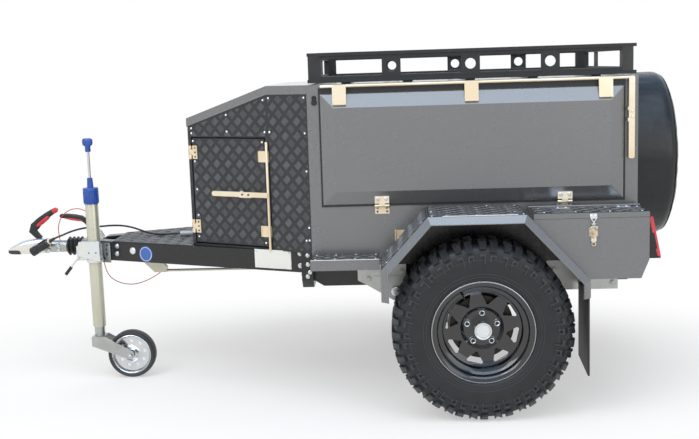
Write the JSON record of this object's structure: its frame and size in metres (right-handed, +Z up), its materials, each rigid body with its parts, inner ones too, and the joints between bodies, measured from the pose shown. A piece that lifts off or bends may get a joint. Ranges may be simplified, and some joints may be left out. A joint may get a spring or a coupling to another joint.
{
  "type": "off-road box trailer",
  "caption": "Off-road box trailer with a tapered nose box, side doors, side boxes, roof rack, angular fenders, spare wheel cover, overrun coupling and jockey wheel.",
  "frame": {"origin": "bottom centre of the bounding box, on the ground", "axes": "+X from the coupling to the spare wheel, -Y the trailer's left side, +Z up"},
  "size_m": [3.1204, 1.8, 1.49],
  "materials": {
    "body_grey": "satin grey paint",
    "tread_black": "black powder-coated tread plate",
    "chassis_black": "black chassis paint",
    "galvanised": "hot-dip galvanised steel",
    "zinc": "yellow zinc plated steel",
    "rack_black": "textured black powder coat",
    "tyre_rubber": "matt tyre rubber",
    "rubber": "matt black rubber",
    "rim_black": "gloss black wheel paint",
    "drum_iron": "bare cast iron",
    "blue_plastic": "moulded blue plastic",
    "lever_plastic": "black grips with red parts",
    "black_plastic": "moulded black plastic",
    "grey_plastic": "pale grey plastic sleeve",
    "lamp_red": "red lamp lens",
    "vinyl": "glossy black vinyl",
    "lead_black": "black cable sheath",
    "cable_red": "red plastic coated wire"
  },
  "bodies": {
    "trailer": {"chassis_rails": "chassis_black", "crossmembers": "chassis_black", "drawbar_beams": "chassis_black", "drawbar_deck": "tread_black", "overrun_housing": "galvanised", "bellows": "rubber", "coupling_head": "galvanised", "drawbar_levers": "lever_plastic", "brake_rod": "galvanised", "leaf_springs": "chassis_black", "spring_hangers": "galvanised", "axle_beam": "galvanised", "body_floor": "body_grey", "body_end_walls": "body_grey", "body_roof": "body_grey", "body_sides": "body_grey", "side_door_hinges": "zinc", "nose_door_hinges": "zinc", "nose_floor": "tread_black", "nose_front_panel": "tread_black", "nose_sides": "tread_black", "nose_lid": "body_grey", "side_steps": "body_grey", "fenders": "body_grey", "side_boxes": "body_grey", "box_latches": "zinc", "mud_flaps": "rubber", "tail_lamps": "lamp_red", "rack_sides": "rack_black", "rack_ends": "rack_black", "rack_corners_and_bars": "rack_black", "spare_cover": "vinyl", "jockey_clamp": "galvanised", "lead_gland": "grey_plastic", "lead_plug": "black_plastic", "electrical_lead": "lead_black", "breakaway_cable": "cable_red"},
    "wheel_left": {"tyre_left": "tyre_rubber", "rim_left": "rim_black", "brake_drum_left": "drum_iron"},
    "wheel_right": {"tyre_right": "tyre_rubber", "rim_right": "rim_black", "brake_drum_right": "drum_iron"},
    "side_door_left": {"side_door_left": "body_grey", "side_door_fittings_left": "zinc"},
    "side_door_right": {"side_door_right": "body_grey", "side_door_fittings_right": "zinc"},
    "nose_door_left": {"nose_door_left": "tread_black", "nose_door_fittings_left": "zinc"},
    "nose_door_right": {"nose_door_right": "tread_black", "nose_door_fittings_right": "zinc"},
    "box_lid_left": {"side_box_lid_left": "body_grey", "box_lid_catch_left": "zinc"},
    "box_lid_right": {"side_box_lid_right": "body_grey", "box_lid_catch_right": "zinc"},
    "jockey_slide": {"jockey_tube": "galvanised", "jockey_crank": "blue_plastic"},
    "jockey_screw": {"jockey_inner_tube": "galvanised"},
    "jockey_swivel": {"jockey_fork": "galvanised"},
    "jockey_wheel": {"jockey_wheel": "rubber"}
  },
  "joints": [
    {"name": "wheel_left_spin", "type": "hinge", "parent": "trailer", "child": "wheel_left", "pos_m": [0.65985, -0.767, 0.3665], "axis": [0, 1, 0], "continuous": true},
    {"name": "wheel_right_spin", "type": "hinge", "parent": "trailer", "child": "wheel_right", "pos_m": [0.65985, 0.767, 0.3665], "axis": [0, 1, 0], "continuous": true},
    {"name": "side_door_left_hinge", "type": "hinge", "parent": "trailer", "child": "side_door_left", "pos_m": [0.64435, -0.606, 0.852], "axis": [1, 0, 0], "range_deg": [0, 84]},
    {"name": "side_door_right_hinge", "type": "hinge", "parent": "trailer", "child": "side_door_right", "pos_m": [0.64435, 0.606, 0.852], "axis": [-1, 0, 0], "range_deg": [0, 84]},
    {"name": "nose_door_left_hinge", "type": "hinge", "parent": "trailer", "child": "nose_door_left", "pos_m": [-0.59218, -0.28359, 0.8995], "axis": [0, 0, -1], "range_deg": [0, 120]},
    {"name": "nose_door_right_hinge", "type": "hinge", "parent": "trailer", "child": "nose_door_right", "pos_m": [-0.59218, 0.28359, 0.8995], "axis": [0, 0, 1], "range_deg": [0, 120]},
    {"name": "box_lid_left_hinge", "type": "hinge", "parent": "trailer", "child": "box_lid_left", "pos_m": [1.09635, -0.6215, 0.8323], "axis": [1, 0, 0], "range_deg": [-80, 0]},
    {"name": "box_lid_right_hinge", "type": "hinge", "parent": "trailer", "child": "box_lid_right", "pos_m": [1.09635, 0.6215, 0.8323], "axis": [-1, 0, 0], "range_deg": [-80, 0]},
    {"name": "jockey_raise", "type": "slide", "parent": "trailer", "child": "jockey_slide", "axis": [0, 0, 1], "range_m": [0, 0.25]},
    {"name": "jockey_screw", "type": "slide", "parent": "jockey_slide", "child": "jockey_screw", "axis": [0, 0, -1], "range_m": [0, 0.2]},
    {"name": "jockey_swivel", "type": "hinge", "parent": "jockey_screw", "child": "jockey_swivel", "pos_m": [-1.09815, -0.146, 0.2], "axis": [0, 0, 1], "continuous": true},
    {"name": "jockey_wheel_spin", "type": "hinge", "parent": "jockey_swivel", "child": "jockey_wheel", "pos_m": [-0.94815, -0.146, 0.113], "axis": [0, 1, 0], "continuous": true}
  ]
}
